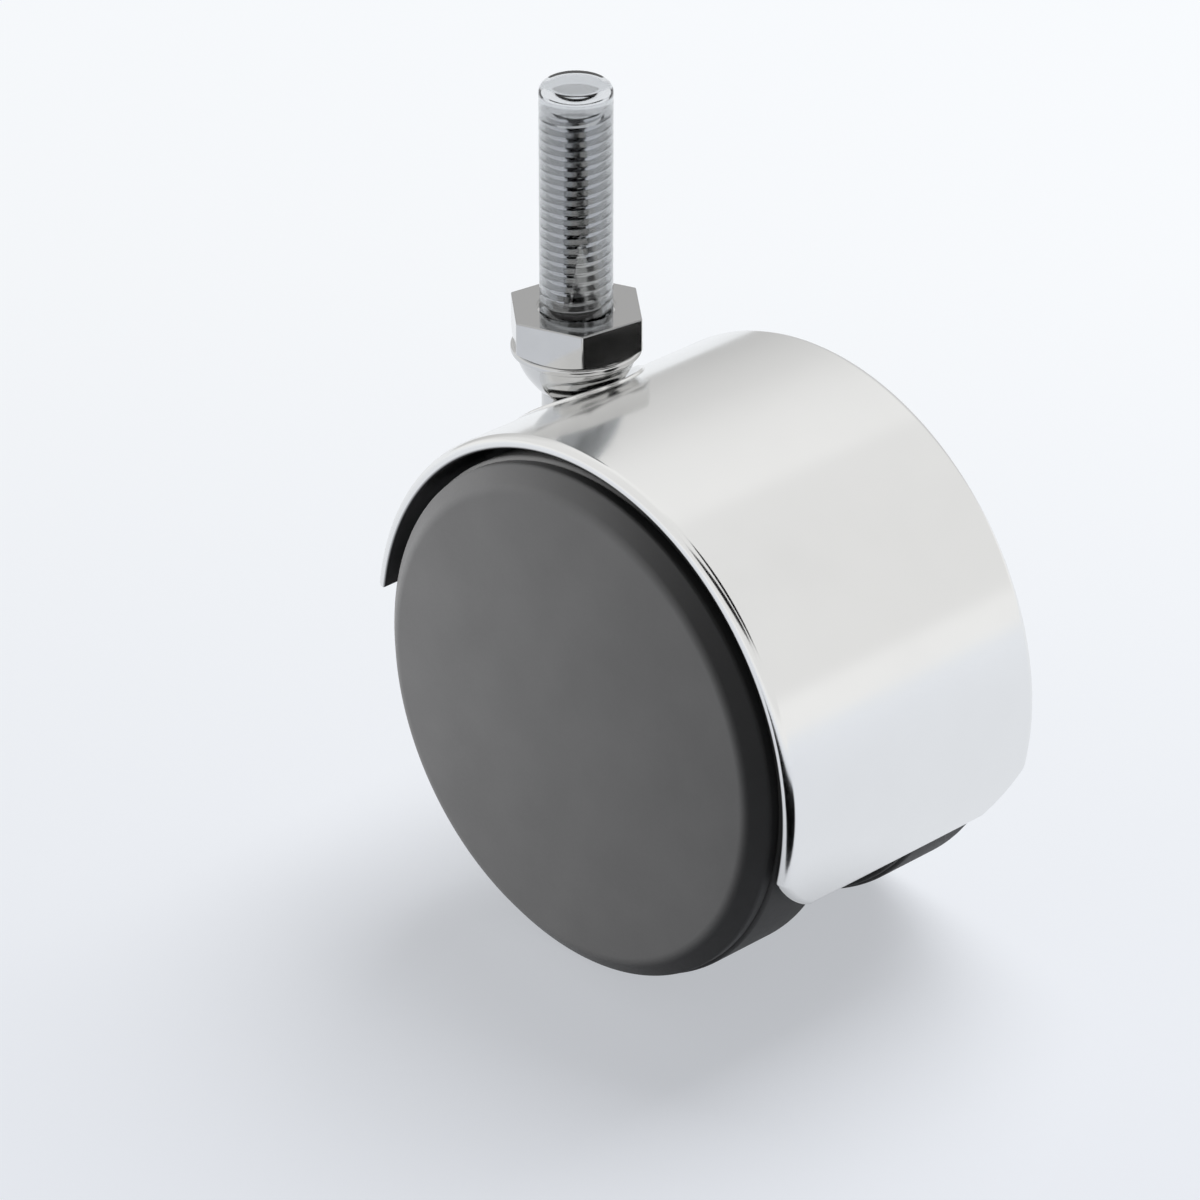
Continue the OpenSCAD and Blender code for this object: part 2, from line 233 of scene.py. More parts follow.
def clean(piece):
    """Merges doubles and turns the faces outwards."""
    edit(piece)
    bpy.ops.mesh.remove_doubles(threshold=MERGE)
    bpy.ops.mesh.dissolve_degenerate(threshold=MERGE / 2)
    bpy.ops.mesh.select_all(action="SELECT")
    bpy.ops.mesh.normals_make_consistent(inside=False)
    bpy.ops.object.mode_set(mode="OBJECT")


def arc(centre, radius, start, end, count=8):
    """Points of a section on an arc, with its angles in degrees."""
    points = []
    for i in range(count + 1):
        angle = math.radians(start + (end - start) * i / count)
        points.append((centre[0] + radius * math.cos(angle), centre[1] + radius * math.sin(angle)))
    return points


def ring_section(inner, outer, low, high, ease=0.12 * MM):
    """A ring's section with its four edges eased."""
    ease = min(ease, (outer - inner) / 3, (high - low) / 3)
    section = []
    for start, radius, along in (
        (-90, outer - ease, low + ease), (0, outer - ease, high - ease),
        (90, inner + ease, high - ease), (180, inner + ease, low + ease),
    ):
        section += arc((radius, along), ease, start, start + 90, 2)
    return section


def on_stem(radius, height, angle=0.0):
    """A point at a radius from the swivel axis."""
    return Vector((radius * math.cos(angle), radius * math.sin(angle), height))


def on_axle(radius, along, angle=0.0):
    """A point at a radius from the axle, with its angle from +X towards +Z."""
    return AXLE + Vector((radius * math.cos(angle), along, radius * math.sin(angle)))


def trace(name, points, closed):
    """Draws a line of edges through the points by extruding one vertex from each to the next."""
    fresh()
    bpy.ops.mesh.primitive_plane_add(size=MM)
    piece = added(name)
    edit(piece)
    bpy.ops.mesh.merge(type="CENTER")
    bpy.ops.transform.translate(value=points[0])
    for here, there in zip(points, points[1:]):
        bpy.ops.mesh.extrude_vertices_move(TRANSFORM_OT_translate={"value": there - here})
    if closed:
        bpy.ops.mesh.extrude_vertices_move(TRANSFORM_OT_translate={"value": points[0] - points[-1]})
        bpy.ops.mesh.select_all(action="SELECT")
        bpy.ops.mesh.remove_doubles(threshold=MERGE / 10)
    bpy.ops.mesh.select_all(action="SELECT")
    return piece


def turned(name, section, place, closed=True, steps=160, begin=0.0, sweep=FULL_TURN):
    """Turns a section about the swivel axis or the axle. An open section starts and ends on the axis."""
    piece = trace(name, [place(radius, along, begin) for radius, along in section], closed)
    if place is on_stem:
        bpy.ops.mesh.spin(steps=steps, angle=-sweep, center=(0, 0, 0), axis=(0, 0, 1))
    else:
        bpy.ops.mesh.spin(steps=steps, angle=-sweep, center=AXLE, axis=(0, -1, 0))
    bpy.ops.mesh.select_all(action="SELECT")
    bpy.ops.mesh.remove_doubles(threshold=MERGE)
    if sweep < FULL_TURN:
        bpy.ops.mesh.select_all(action="SELECT")
        bpy.ops.mesh.fill_holes(sides=0)
    clean(piece)
    return piece


def apply_modifier(piece, kind, **settings):
    """Adds a modifier to a piece and applies it."""
    only(piece)
    modifier = piece.modifiers.new(kind.title(), kind)
    for setting, value in settings.items():
        setattr(modifier, setting, value)
    bpy.ops.object.modifier_apply(modifier=modifier.name)


def combine(piece, tool, operation):
    """Joins a tool to a piece, cuts it out or keeps what both share, and takes the tool away."""
    apply_modifier(piece, "BOOLEAN", object=tool, operation=operation, solver="EXACT")
    bpy.data.objects.remove(tool, do_unlink=True)


def mirrored(piece, name):
    """A copy of a piece on the other side of the middle, with its own mesh."""
    only(piece)
    bpy.ops.object.duplicate(linked=False)
    copy = added(name)
    edit(copy)
    bpy.ops.transform.resize(value=(1, -1, 1), center_override=(0, 0, 0))
    clean(copy)
    return copy


def dress(piece, body, node, material, smooth=32):
    """Smooths a piece with its flats kept flat, gives it its finish and puts it in its node's place."""
    only(piece)
    bpy.ops.object.shade_smooth_by_angle(angle=math.radians(smooth))
    apply_modifier(piece, "WEIGHTED_NORMAL", keep_sharp=True)
    piece.data.materials.clear()
    piece.data.materials.append(material)
    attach(piece, body)
    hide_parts(node)


# Material helpers

class Nodes:
    """A node tree with short ways to add to it."""

    def __init__(self, owner):
        owner.use_nodes = True
        self.tree = owner.node_tree
        self.tree.nodes.clear()

    def node(self, kind, **settings):
        node = self.tree.nodes.new(kind)
        for setting, value in settings.items():
            setattr(node, setting, value)
        return node

    def link(self, source, target):
        self.tree.links.new(source, target)

    def ranged(self, value, low, high, from_low=0.3, from_high=0.7):
        """A value spread over a range."""
        spread = self.node("ShaderNodeMapRange")
        spread.inputs["From Min"].default_value = from_low
        spread.inputs["From Max"].default_value = from_high
        spread.inputs["To Min"].default_value = low
        spread.inputs["To Max"].default_value = high
        self.link(value, spread.inputs["Value"])
        return spread.outputs["Result"]

    def either(self, first, second):
        """The larger of two values."""
        larger = self.node("ShaderNodeMath", operation="MAXIMUM")
        self.link(first, larger.inputs[0])
        self.link(second, larger.inputs[1])
        return larger.outputs["Value"]

    def mixed(self, factor, first, second):
        """A colour between two, by a factor."""
        mix = self.node("ShaderNodeMix", data_type="RGBA")
        for socket, colour in ((mix.inputs[6], first), (mix.inputs[7], second)):
            if isinstance(colour, bpy.types.NodeSocket):
                self.link(colour, socket)
            else:
                socket.default_value = (*colour, 1)
        self.link(factor, mix.inputs[0])
        return mix.outputs[2]

    def ramp(self, value, stops):
        """Grey levels that follow a value."""
        ramp = self.node("ShaderNodeValToRGB")
        elements = ramp.color_ramp.elements
        for _ in stops[2:]:
            elements.new(1)
        for element, (place, level) in zip(elements, stops):
            element.position = place
            element.color = (level, level, level, 1)
        self.link(value, ramp.inputs["Fac"])
        return ramp.outputs["Color"]


class Finish(Nodes):
    """A material on object coordinates with one principled shader."""

    def __init__(self, name):
        self.material = bpy.data.materials.get(name) or bpy.data.materials.new(name)
        super().__init__(self.material)
        self.shader = self.node("ShaderNodeBsdfPrincipled")
        output = self.node("ShaderNodeOutputMaterial")
        self.link(self.shader.outputs["BSDF"], output.inputs["Surface"])
        self.place = self.node("ShaderNodeTexCoord").outputs["Object"]

    def set(self, **values):
        for socket, value in values.items():
            self.shader.inputs[socket.replace("_", " ")].default_value = value

    def feed(self, source, socket):
        """Leads a value to the shader."""
        self.link(source, self.shader.inputs[socket])

    def stretched(self, scale):
        """The place with each axis scaled, for marks that run one way."""
        mapping = self.node("ShaderNodeMapping")
        mapping.inputs["Scale"].default_value = scale
        self.link(self.place, mapping.inputs["Vector"])
        return mapping.outputs["Vector"]

    def noise(self, per_metre, detail=3.0, roughness=0.5, place=None):
        noise = self.node("ShaderNodeTexNoise")
        noise.inputs["Scale"].default_value = per_metre
        noise.inputs["Detail"].default_value = detail
        noise.inputs["Roughness"].default_value = roughness
        self.link(place or self.place, noise.inputs["Vector"])
        return noise.outputs["Fac"]

    def bump(self, height, strength, depth):
        bump = self.node("ShaderNodeBump")
        bump.inputs["Strength"].default_value = strength
        bump.inputs["Distance"].default_value = depth
        self.link(height, bump.inputs["Height"])
        self.feed(bump.outputs["Normal"], "Normal")

    def height(self):
        """The height above the origin."""
        parts = self.node("ShaderNodeSeparateXYZ")
        self.link(self.place, parts.inputs["Vector"])
        return parts.outputs["Z"]

    def from_axis(self, centre, keep):
        """The distance from an axis: keep is 0 along the axis and 1 across it."""
        away = self.node("ShaderNodeVectorMath", operation="SUBTRACT")
        away.inputs[1].default_value = centre
        self.link(self.place, away.inputs[0])
        across = self.node("ShaderNodeVectorMath", operation="MULTIPLY")
        across.inputs[1].default_value = keep
        self.link(away.outputs["Vector"], across.inputs[0])
        reach = self.node("ShaderNodeVectorMath", operation="LENGTH")
        self.link(across.outputs["Vector"], reach.inputs[0])
        return reach.outputs["Value"]


def shade(colour, factor):
    """A colour made darker or lighter."""
    return tuple(min(1.0, c * factor) for c in colour)


def chrome_finish(sizes, finishes):
    """Polished plate outside; inside the hood a plate darkened nearly to black, partly a duller plate and
    partly painted shade of the hood's hollow.
    """
    finish = Finish("chrome_plate")
    radius = finish.from_axis(AXLE, (1, 0, 1))
    inside = sizes.hood_radius - sizes.hood_wall
    outer = finish.ranged(radius, 0, 1, inside + 0.1 * MM, inside + 0.4 * MM)
    film = finish.noise(90, detail=4)
    plate = finish.mixed(finish.ranged(film, 0, 1), shade(finishes.chrome, 0.985), finishes.chrome)
    # painted shade: surfaces inside the hood, picked by their radius from the axle, take a near-black
    # plate, partly a duller plate
    dull_and_shaded = finish.mixed(finish.noise(700), shade(finishes.shaded_inside_plate, 0.7), finishes.shaded_inside_plate)
    finish.feed(finish.mixed(outer, dull_and_shaded, plate), "Base Color")
    polish = finish.ranged(finish.noise(160, detail=5), 0.13, 0.17)
    rough = finish.node("ShaderNodeMix", data_type="FLOAT")
    rough.inputs["A"].default_value = 0.5
    finish.link(outer, rough.inputs["Factor"])
    finish.link(polish, rough.inputs["B"])
    finish.feed(rough.outputs["Result"], "Roughness")
    finish.set(Metallic=1.0)
    finish.bump(finish.noise(420, detail=2), 0.02, 0.02 * MM)
    return finish.material


def steel_finish(name, colour, rough, marks=0.05, faced_and_shaded=None):
    """Turned steel with fine marks round its axis; the face at the origin takes another colour, which on
    the stem is a darker plate on the hexagon's top, partly a faced finish and partly painted shade.
    """
    finish = Finish(name)
    rings = finish.noise(1, detail=2, place=finish.stretched((250, 250, 9000)))
    plate = finish.mixed(finish.ranged(finish.noise(260), 0, 1), shade(colour, 0.95), colour)
    if faced_and_shaded:
        # painted shade: the face at the origin, on the stem the hexagon's top, takes the other, darker
        # colour
        level = finish.ranged(finish.height(), 0, 1, -MM, MM)
        faced_shaded_mask = finish.ramp(level, ((0.38, 0), (0.45, 1), (0.53, 1), (0.60, 0)))
        plate = finish.mixed(faced_shaded_mask, plate, faced_and_shaded)
    finish.feed(plate, "Base Color")
    finish.feed(finish.ranged(rings, rough * 0.8, rough * 1.3), "Roughness")
    finish.set(Metallic=1.0)
    finish.bump(rings, marks, 0.02 * MM)
    return finish.material


def moulded_finish(name, colour, rough, grain, depth):
    """Moulded plastic or rubber with a fine grain and a faint cloudiness."""
    finish = Finish(name)
    cloud = finish.ranged(finish.noise(120, detail=4), 0, 1)
    tone = finish.mixed(cloud, shade(colour, 0.95), shade(colour, 1.05))
    finish.feed(tone, "Base Color")
    texture = finish.noise(grain, detail=3, roughness=0.6)
    finish.feed(finish.ranged(texture, rough * 0.92, rough * 1.1), "Roughness")
    finish.set(Specular_IOR_Level=0.15)
    finish.bump(texture, 0.3, depth)
    return finish.material


def clear_finish(finishes, bore, roof):
    """Clear plastic with a faint haze, which clings to the thread and bends light less there."""
    finish = Finish("clear_plastic")
    radius = finish.from_axis((0, 0, 0), (1, 1, 0))
    beside = finish.ranged(radius, 0, 1, bore + 0.05 * MM, bore + 0.2 * MM)
    above = finish.ranged(finish.height(), 0, 1, roof + 0.2 * MM, roof + 0.4 * MM)
    outside = finish.either(beside, above)
    finish.feed(finish.ranged(outside, 1.35, 1.47, 0, 1), "IOR")
    haze = finish.noise(220, detail=4)
    finish.feed(finish.ranged(haze, 0.015, 0.06), "Roughness")
    finish.set(Base_Color=(*finishes.clear, 1), Transmission_Weight=1.0)
    finish.bump(finish.noise(1, place=finish.stretched((500, 500, 60))), 0.05, 0.05 * MM)
    return finish.material


# The hood

def hood_plate(sizes):
    """The hood's wall as a flat plate with rounded corners and edges, then wrapped round the axle."""
    wrap = sizes.hood_rear + sizes.hood_front
    run = sizes.hood_radius * wrap
    fresh()
    bpy.ops.mesh.primitive_plane_add(size=1, rotation=(math.pi / 2, 0, 0))
    plate = added("plated_hood")
    settle()
    edit(plate)
    bpy.ops.transform.resize(value=(run, 1, sizes.hood_width), center_override=(0, 0, 0))
    pick_vertices(plate, lambda co: co.x < 0)
    bpy.ops.mesh.bevel(offset=sizes.hood_corner, segments=14, profile=0.32, affect="VERTICES",
                       clamp_overlap=False)
    edit(plate, "FACE")
    bpy.ops.mesh.extrude_region_move(TRANSFORM_OT_translate={"value": (0, sizes.hood_wall, 0)})
    clean(plate)
    near = 0.01 * MM
    pick_edges(plate, lambda co: abs(co.y) < near)
    bpy.ops.mesh.bevel(offset=sizes.rim_round, segments=7, affect="EDGES", clamp_overlap=False)
    pick_edges(plate, lambda co: abs(co.y - sizes.hood_wall) < near)
    bpy.ops.mesh.bevel(offset=0.3 * MM, segments=3, affect="EDGES", clamp_overlap=False)
    strips = round(math.degrees(wrap) * 2)
    edit(plate)
    for i in range(1, strips):
        bpy.ops.mesh.select_all(action="SELECT")
        cut = run * (i / strips - 0.5)
        bpy.ops.mesh.bisect(plane_co=(cut, 0, 0), plane_no=(1, 0, 0), threshold=MERGE / 10)
    apply_modifier(plate, "SIMPLE_DEFORM", deform_method="BEND", deform_axis="Z", angle=wrap)
    middle = (sizes.hood_front - sizes.hood_rear) / 2
    plate.matrix_world = (
        Matrix.Translation(AXLE)
        @ Matrix.Rotation(-middle - math.pi / 2, 4, "Y")
        @ Matrix.Rotation(math.pi / 2, 4, "X")
        @ Matrix.Translation((0, -sizes.hood_radius, 0))
    )
    only(plate)
    settle()
    clean(plate)
    return plate


def cylinder(place, radius, low, high, steps=160):
    """A plain cylinder about the swivel axis or the axle, to cut or fit other pieces with."""
    section = [(0, low), (radius, low), (radius, high), (0, high)]
    return turned("cylinder", section, place, closed=False, steps=steps)


def hood_drum(radius, sizes):
    """A finely divided drum about the axle, wider than the hood."""
    return cylinder(on_axle, radius, -sizes.hood_width, sizes.hood_width, steps=720)


def mouth_bead(sizes):
    """The round bead on the hood around the stem's mouth."""
    drum = hood_drum(sizes.hood_radius, sizes)
    fresh()
    bpy.ops.mesh.primitive_circle_add(vertices=160, radius=sizes.dish_radius + sizes.lip_round)
    bead = added("bead")
    apply_modifier(bead, "SHRINKWRAP", target=drum, wrap_method="PROJECT", use_project_z=True,
                   use_negative_direction=True, use_positive_direction=True)
    bpy.data.objects.remove(drum, do_unlink=True)
    only(bead)
    bpy.ops.object.convert(target="CURVE")
    bead = bpy.context.object
    bead.data.bevel_depth = sizes.lip_round
    bead.data.bevel_resolution = 4
    bpy.ops.object.convert(target="MESH")
    bead = bpy.context.object
    clean(bead)
    return bead


def hood_web(sizes):
    """The web in the middle of the hood, which carries both bosses."""
    back = math.radians(3)
    half = sizes.web_wall / 2
    section = ring_section(MM, sizes.hood_radius - sizes.hood_wall / 2, -half, half, 0.3 * MM)
    sweep = sizes.hood_rear + sizes.hood_front - 2 * back
    return turned("web", section, on_axle, steps=240, begin=back - sizes.hood_rear, sweep=sweep)


def axle_boss():
    """The boss on the web that holds the axle and reaches from spacer to spacer."""
    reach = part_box("right_spacer_washer")[0].y - SET_GAP
    radius = 7 * MM
    ease = 0.5 * MM
    section = [(0, -reach)]
    section += arc((radius - ease, ease - reach), ease, -90, 0, 3)
    section += arc((radius - ease, reach - ease), ease, 0, 90, 3)
    section += [(0, reach)]
    return turned("boss", section, on_axle, closed=False, steps=96)


def stem_cup(sizes, foot, mouth):
    """The boss that holds the stem's bearing, cut off inside the hood's wall."""
    wide = sizes.mouth_radius + 0.9 * MM
    step = mouth - 2 * MM
    narrow = sizes.boss_radius
    section = [(0, foot), (narrow, foot), (narrow, step), (wide, step + MM), (wide, 0), (0, 0)]
    cup = turned("cup", section, on_stem, closed=False)
    combine(cup, hood_drum(sizes.hood_radius - sizes.hood_wall / 2, sizes), "INTERSECT")
    return cup


class CASTOR_OT_hood(bpy.types.Operator):
    """Model the plated hood with its web, bosses and dished mouth"""

    bl_idname = "castor.hood"
    bl_label = "Hood"

    def execute(self, context):
        sizes = context.scene.castor_sizes
        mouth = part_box("stem_thrust_washer")[0].z - SET_GAP
        bush_low, bush_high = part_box("upper_swivel_bush")
        bush = (bush_high.x - bush_low.x) / 2 + SET_GAP
        land = bush_low.z - SET_GAP
        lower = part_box("lower_swivel_bush")[1].z + SET_GAP
        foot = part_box("stem_washer")[1].z + RUN_GAP + LOWER_FLANGE + SET_GAP
        hood = hood_plate(sizes)
        for detail in (hood_web(sizes), axle_boss(), stem_cup(sizes, foot, mouth), mouth_bead(sizes)):
            combine(hood, detail, "UNION")
        dish = cylinder(on_stem, sizes.dish_radius, mouth, 0)
        combine(dish, hood_drum(sizes.hood_radius - sizes.dish_depth, sizes), "DIFFERENCE")
        combine(hood, dish, "DIFFERENCE")
        for radius, low, high in (
            (sizes.mouth_radius, mouth, 0),
            (bush, land, mouth + MM),
            (sizes.shank_radius + 0.5 * MM, lower - MM, land + MM),
            (sizes.boss_radius + 0.4 * MM, AXLE.z - sizes.hood_radius, foot),
            (bush, foot - MM, lower),
        ):
            combine(hood, cylinder(on_stem, radius, low, high), "DIFFERENCE")
        reach = sizes.hood_width
        bore = cylinder(on_axle, sizes.axle_radius + SET_GAP, -reach, reach, steps=96)
        combine(hood, bore, "DIFFERENCE")
        clean(hood)
        dress(hood, "hood", "hood", chrome_finish(sizes, context.scene.castor_finishes))
        return {"FINISHED"}


# The stem

def stem_body(sizes):
    """The turned part of the stem, from the shank's end to the flange under the hexagon."""
    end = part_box("threaded_stem")[0].z
    clip_low, clip_high = (corner.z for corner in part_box("stem_circlip"))
    collar_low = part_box("stem_thrust_washer")[1].z + RUN_GAP
    collar_high = collar_low + 1.6 * MM
    flange_low = -sizes.hex_height - sizes.flange_wall
    groove = sizes.shank_radius - 0.6 * MM
    lead = 0.6 * MM
    bowl_top = sizes.flange_radius - 0.6 * MM
    bowl_fall = (bowl_top - sizes.neck_radius) * 1.68
    bulge = 0.55 * MM
    bowl = []
    for i in range(24, -1, -1):
        q = i / 24
        radius = bowl_top - (bowl_top - sizes.neck_radius) * q + 4 * bulge * q * (1 - q)
        bowl.append((radius, flange_low - bowl_fall * q))
    ease = 0.3 * MM
    collar_ease = 0.15 * MM
    section = [
        (0, end), (sizes.shank_radius - lead, end), (sizes.shank_radius, end + lead),
        (sizes.shank_radius, clip_low - SET_GAP), (groove, clip_low - SET_GAP),
        (groove, clip_high + SET_GAP), (sizes.shank_radius, clip_high + SET_GAP),
        (sizes.shank_radius, collar_low), (sizes.collar_radius - collar_ease, collar_low),
        (sizes.collar_radius, collar_low + collar_ease), (sizes.collar_radius, collar_high),
        (sizes.neck_radius, collar_high + 0.4 * MM),
    ]
    section += bowl
    section += arc((sizes.flange_radius - ease, flange_low + ease), ease, -90, 0, 5)
    section += arc((sizes.flange_radius - ease, -sizes.hex_height - ease), ease, 0, 90, 5)
    spigot = 6 * MM
    inside_hex = MM - sizes.hex_height
    section += [(spigot, -sizes.hex_height), (spigot, inside_hex), (0, inside_hex)]
    return turned("turned_stem", section, on_stem, closed=False, steps=192)


def stem_hexagon(sizes):
    """The hexagon with eased edges, a chamfered underside and a shallow recess in its top."""
    corner = sizes.hex_flats / math.sqrt(3)
    sunk = 0.2 * MM
    depth = sizes.hex_height + sunk
    # a six-sided cylinder has its corners at 30 degrees and every 60 from there
    fresh()
    bpy.ops.mesh.primitive_cylinder_add(vertices=6, radius=corner, depth=depth, location=(0, 0, -depth / 2),
                                        rotation=(0, 0, sizes.hex_turn - math.pi / 6))
    hexagon = added("hexagon")
    settle()
    edit(hexagon, "EDGE")
    bpy.ops.mesh.bevel(offset=0.16 * MM, segments=3, affect="EDGES")
    flats = sizes.hex_flats / 2 - 0.05 * MM
    rise = (corner - sizes.hex_flats / 2) * math.tan(math.radians(30)) + 0.15 * MM
    clear = corner + 0.2 * MM
    section = [(0, -depth - MM), (flats, -depth - MM), (flats, -sizes.hex_height),
               (clear, rise - sizes.hex_height), (clear, MM), (0, MM)]
    combine(hexagon, turned("cone", section, on_stem, closed=False, steps=192), "INTERSECT")
    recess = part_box("thread_protector")[1].x + 0.35 * MM
    combine(hexagon, cylinder(on_stem, recess, -0.5 * MM, MM), "DIFFERENCE")
    return hexagon


def stem_thread(sizes):
    """The thread as a true helix, cut square at its foot and chamfered at its end."""
    pitch = sizes.thread_pitch
    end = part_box("threaded_stem")[1].z
    foot = -0.8 * MM
    minor = sizes.thread_radius - 0.61 * pitch
    major = sizes.thread_radius
    start = foot - 2 * pitch
    profile = [(minor, 0), (minor, 0.22), (major, 0.55), (major, 0.67), (minor, 1)]
    thread = trace("thread", [on_stem(radius, start + q * pitch) for radius, q in profile], closed=False)
    turns = math.ceil((end - start) / pitch) + 2
    apply_modifier(thread, "SCREW", axis="Z", angle=FULL_TURN, screw_offset=pitch, iterations=turns,
                   steps=64, render_steps=64, use_merge_vertices=True, merge_threshold=MERGE)
    for height, side in ((foot, "clear_inner"), (end, "clear_outer")):
        edit(thread)
        bpy.ops.mesh.bisect(plane_co=(0, 0, height), plane_no=(0, 0, 1), use_fill=True,
                            threshold=MERGE / 10, **{side: True})
    clean(thread)
    loose = major + 0.1 * MM
    tip = end + 0.15 * MM
    nose = [(0, foot - MM), (loose, foot - MM), (loose, end - 0.75 * MM), (minor - 0.1 * MM, tip), (0, tip)]
    combine(thread, turned("nose", nose, on_stem, closed=False, steps=192), "INTERSECT")
    return thread


class CASTOR_OT_stem(bpy.types.Operator):
    """Model the stem with its thread, hexagon, flange, neck and shank"""

    bl_idname = "castor.stem"
    bl_label = "Stem"

    def execute(self, context):
        sizes = context.scene.castor_sizes
        stem = stem_body(sizes)
        hexagon = stem_hexagon(sizes)
        combine(hexagon, stem_thread(sizes), "UNION")
        combine(stem, hexagon, "UNION")
        clean(stem)
        finishes = context.scene.castor_finishes
        # the hexagon's top gets the darker plate, partly a faced finish and partly painted shade
        finish = steel_finish("plated_stem", finishes.bright_steel, 0.09, faced_and_shaded=finishes.steel)
        dress(stem, "stem", "threaded_stem", finish)
        return {"FINISHED"}


class CASTOR_OT_cap(bpy.types.Operator):
    """Model the clear cap over the thread"""

    bl_idname = "castor.cap"
    bl_label = "Thread protector"

    def execute(self, context):
        sizes = context.scene.castor_sizes
        foot, top = (corner.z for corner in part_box("thread_protector"))
        bore = sizes.thread_radius + RUN_GAP
        outer = bore + sizes.cap_wall
        roof = top - 1.3 * MM
        inner_round = 0.8 * MM
        top_round = sizes.cap_round
        ease = 0.08 * MM
        lip = foot + 0.1 * MM
        section = [(0, roof)]
        section += arc((bore - inner_round, roof - inner_round), inner_round, 90, 0, 6)
        section += [(bore, lip), (bore + ease, foot), (outer - ease, foot), (outer, lip)]
        section += arc((outer - top_round, top - top_round), top_round, 0, 90, 10)
        section += [(0, top)]
        cap = turned("clear_cap", section, on_stem, closed=False, steps=128)
        finish = clear_finish(context.scene.castor_finishes, bore, roof)
        dress(cap, "protector", "thread_protector", finish)
        return {"FINISHED"}


def bearing_finishes(finishes):
    """Finishes of the small pieces in both bearings, by slot."""
    return {
        "acetal": moulded_finish("acetal", finishes.acetal, 0.42, 3000, 0.01 * MM),
        "bush_plastic": moulded_finish("bush_plastic", finishes.bush, 0.38, 2600, 0.01 * MM),
        "spring_steel": steel_finish("spring_steel", finishes.spring, 0.3, 0.1),
        "plated_steel": steel_finish("plated_washer", finishes.steel, 0.16),
    }


class CASTOR_OT_bearing(bpy.types.Operator):
    """Model the washers, bushes and the circlip that hold the hood on the stem"""

    bl_idname = "castor.bearing"
    bl_label = "Swivel bearing"

    def execute(self, context):
        sizes = context.scene.castor_sizes
        finish = bearing_finishes(context.scene.castor_finishes)
        bore = sizes.shank_radius + RUN_GAP
        for name, node, body, slot in (
            ("thrust_washer", "stem_thrust_washer", "hood", "acetal"),
            ("upper_bush", "upper_swivel_bush", "hood", "bush_plastic"),
            ("retaining_washer", "stem_washer", "stem", "plated_steel"),
        ):
            low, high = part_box(node)
            ring = turned(name, ring_section(bore, high.y, low.z, high.z), on_stem, steps=128)
            dress(ring, body, node, finish[slot])
        low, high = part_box("lower_swivel_bush")
        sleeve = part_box("upper_swivel_bush")[1].y
        shoulder = low.z + LOWER_FLANGE
        ease = 0.15 * MM
        section = [
            (bore, low.z), (high.y - ease, low.z), (high.y, low.z + ease), (high.y, shoulder - ease),
            (high.y - ease, shoulder), (sleeve, shoulder), (sleeve, high.z - ease), (sleeve - ease, high.z),
            (bore, high.z),
        ]
        bush = turned("lower_bush", section, on_stem, steps=128)
        dress(bush, "hood", "lower_swivel_bush", finish["bush_plastic"])
        low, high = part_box("stem_circlip")
        opening = math.radians(50)
        groove = sizes.shank_radius - 0.58 * MM
        section = ring_section(groove, high.y, low.z, high.z, 0.08 * MM)
        clip = turned("retaining_clip", section, on_stem, steps=96, begin=math.pi + opening / 2,
                      sweep=FULL_TURN - opening)
        dress(clip, "stem", "stem_circlip", finish["spring_steel"])
        return {"FINISHED"}


class CASTOR_OT_axle(bpy.types.Operator):
    """Model the axle with its spacers, hub bushes and snap rings"""

    bl_idname = "castor.axle"
    bl_label = "Axle"

    def execute(self, context):
        sizes = context.scene.castor_sizes
        finishes = context.scene.castor_finishes
        finish = bearing_finishes(finishes)
        ring_low, ring_high = (corner.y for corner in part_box("right_axle_snap_ring"))
        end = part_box("axle")[1].y
        radius = sizes.axle_radius
        groove = radius - 0.9 * MM
        lead = 0.6 * MM
        half = [
            (radius, ring_low - SET_GAP), (groove, ring_low - SET_GAP), (groove, ring_high + SET_GAP),
            (radius, ring_high + SET_GAP), (radius, end - lead), (radius - lead, end),
        ]
        section = [(0, -end)] + [(r, -y) for r, y in reversed(half)] + half + [(0, end)]
        pin = turned("axle_pin", section, on_axle, closed=False, steps=96)
        dress(pin, "hood", "axle", steel_finish("plated_axle", finishes.steel, 0.14))
        bore = radius + RUN_GAP
        opening = math.radians(60)
        wire = 0.45 * MM
        for side in SIDES:
            for name, part, body, slot in (
                ("spacer", "spacer_washer", "hood", "acetal"),
                ("hub_sleeve", "hub_bush", f"{side}_wheel", "bush_plastic"),
            ):
                low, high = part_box(f"{side}_{part}")
                section = ring_section(bore, (high.x - low.x) / 2, low.y, high.y)
                ring = turned(f"{side}_{name}", section, on_axle, steps=96)
                dress(ring, body, f"{side}_{part}", finish[slot])
            low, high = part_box(f"{side}_axle_snap_ring")
            section = ring_section(groove + wire, radius + wire, low.y, high.y, 0.2 * MM)
            ring = turned(f"{side}_snap_wire", section, on_axle, steps=72, begin=opening / 2,
                          sweep=FULL_TURN - opening)
            dress(ring, "hood", f"{side}_axle_snap_ring", finish["spring_steel"])
        return {"FINISHED"}


# The wheels

def tread_seat(sizes):
    """The radius of the groove for the rolling band."""
    return sizes.wheel_flange + sizes.tread_proud - sizes.tread_depth


